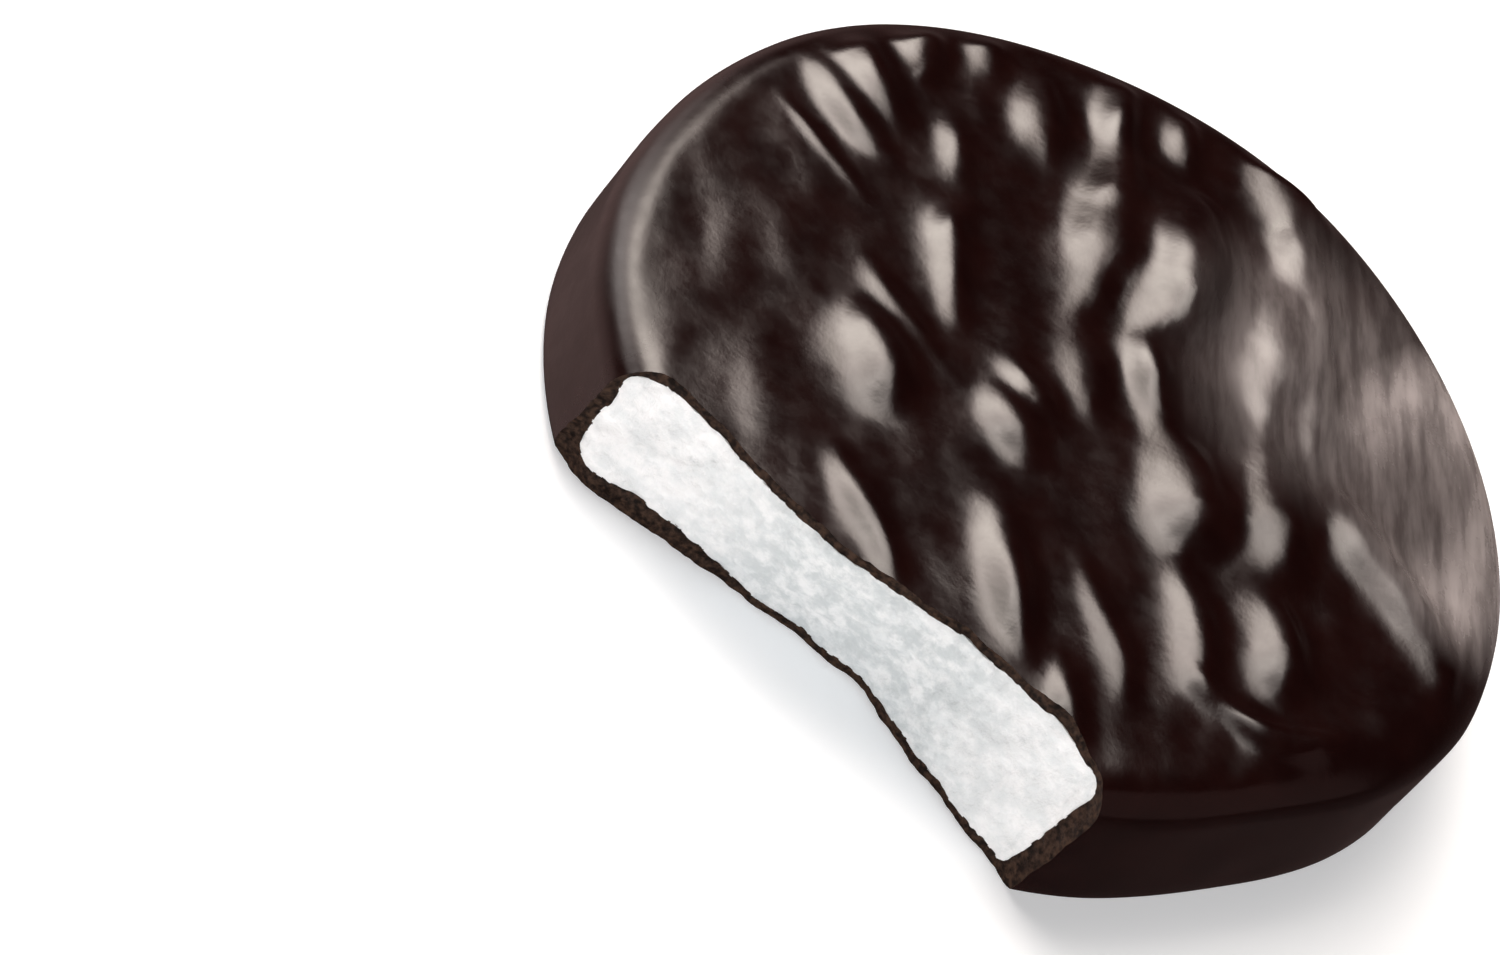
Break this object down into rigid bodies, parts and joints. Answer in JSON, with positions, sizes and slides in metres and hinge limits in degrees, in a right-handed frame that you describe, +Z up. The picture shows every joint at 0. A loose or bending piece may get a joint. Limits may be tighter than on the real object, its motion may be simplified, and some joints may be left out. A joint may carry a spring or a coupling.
{
  "type": "peppermint patty",
  "caption": "Round rippled dark chocolate disc with a white mint filling that shows where a bite is taken from its edge.",
  "frame": {"origin": "middle of the disc's outline, on the flat bottom that the patty rests on", "axes": "+Z up through the thickness, +X along the bite, -Y out of the bite"},
  "size_m": [0.0635, 0.0585, 0.0127],
  "materials": {
    "dark_chocolate": "dark chocolate, satin gloss",
    "mint_filling": "matt white fondant, grainy where bitten"
  },
  "bodies": {
    "root": {"chocolate_shell": "dark_chocolate", "mint_filling": "mint_filling"}
  },
  "joints": []
}
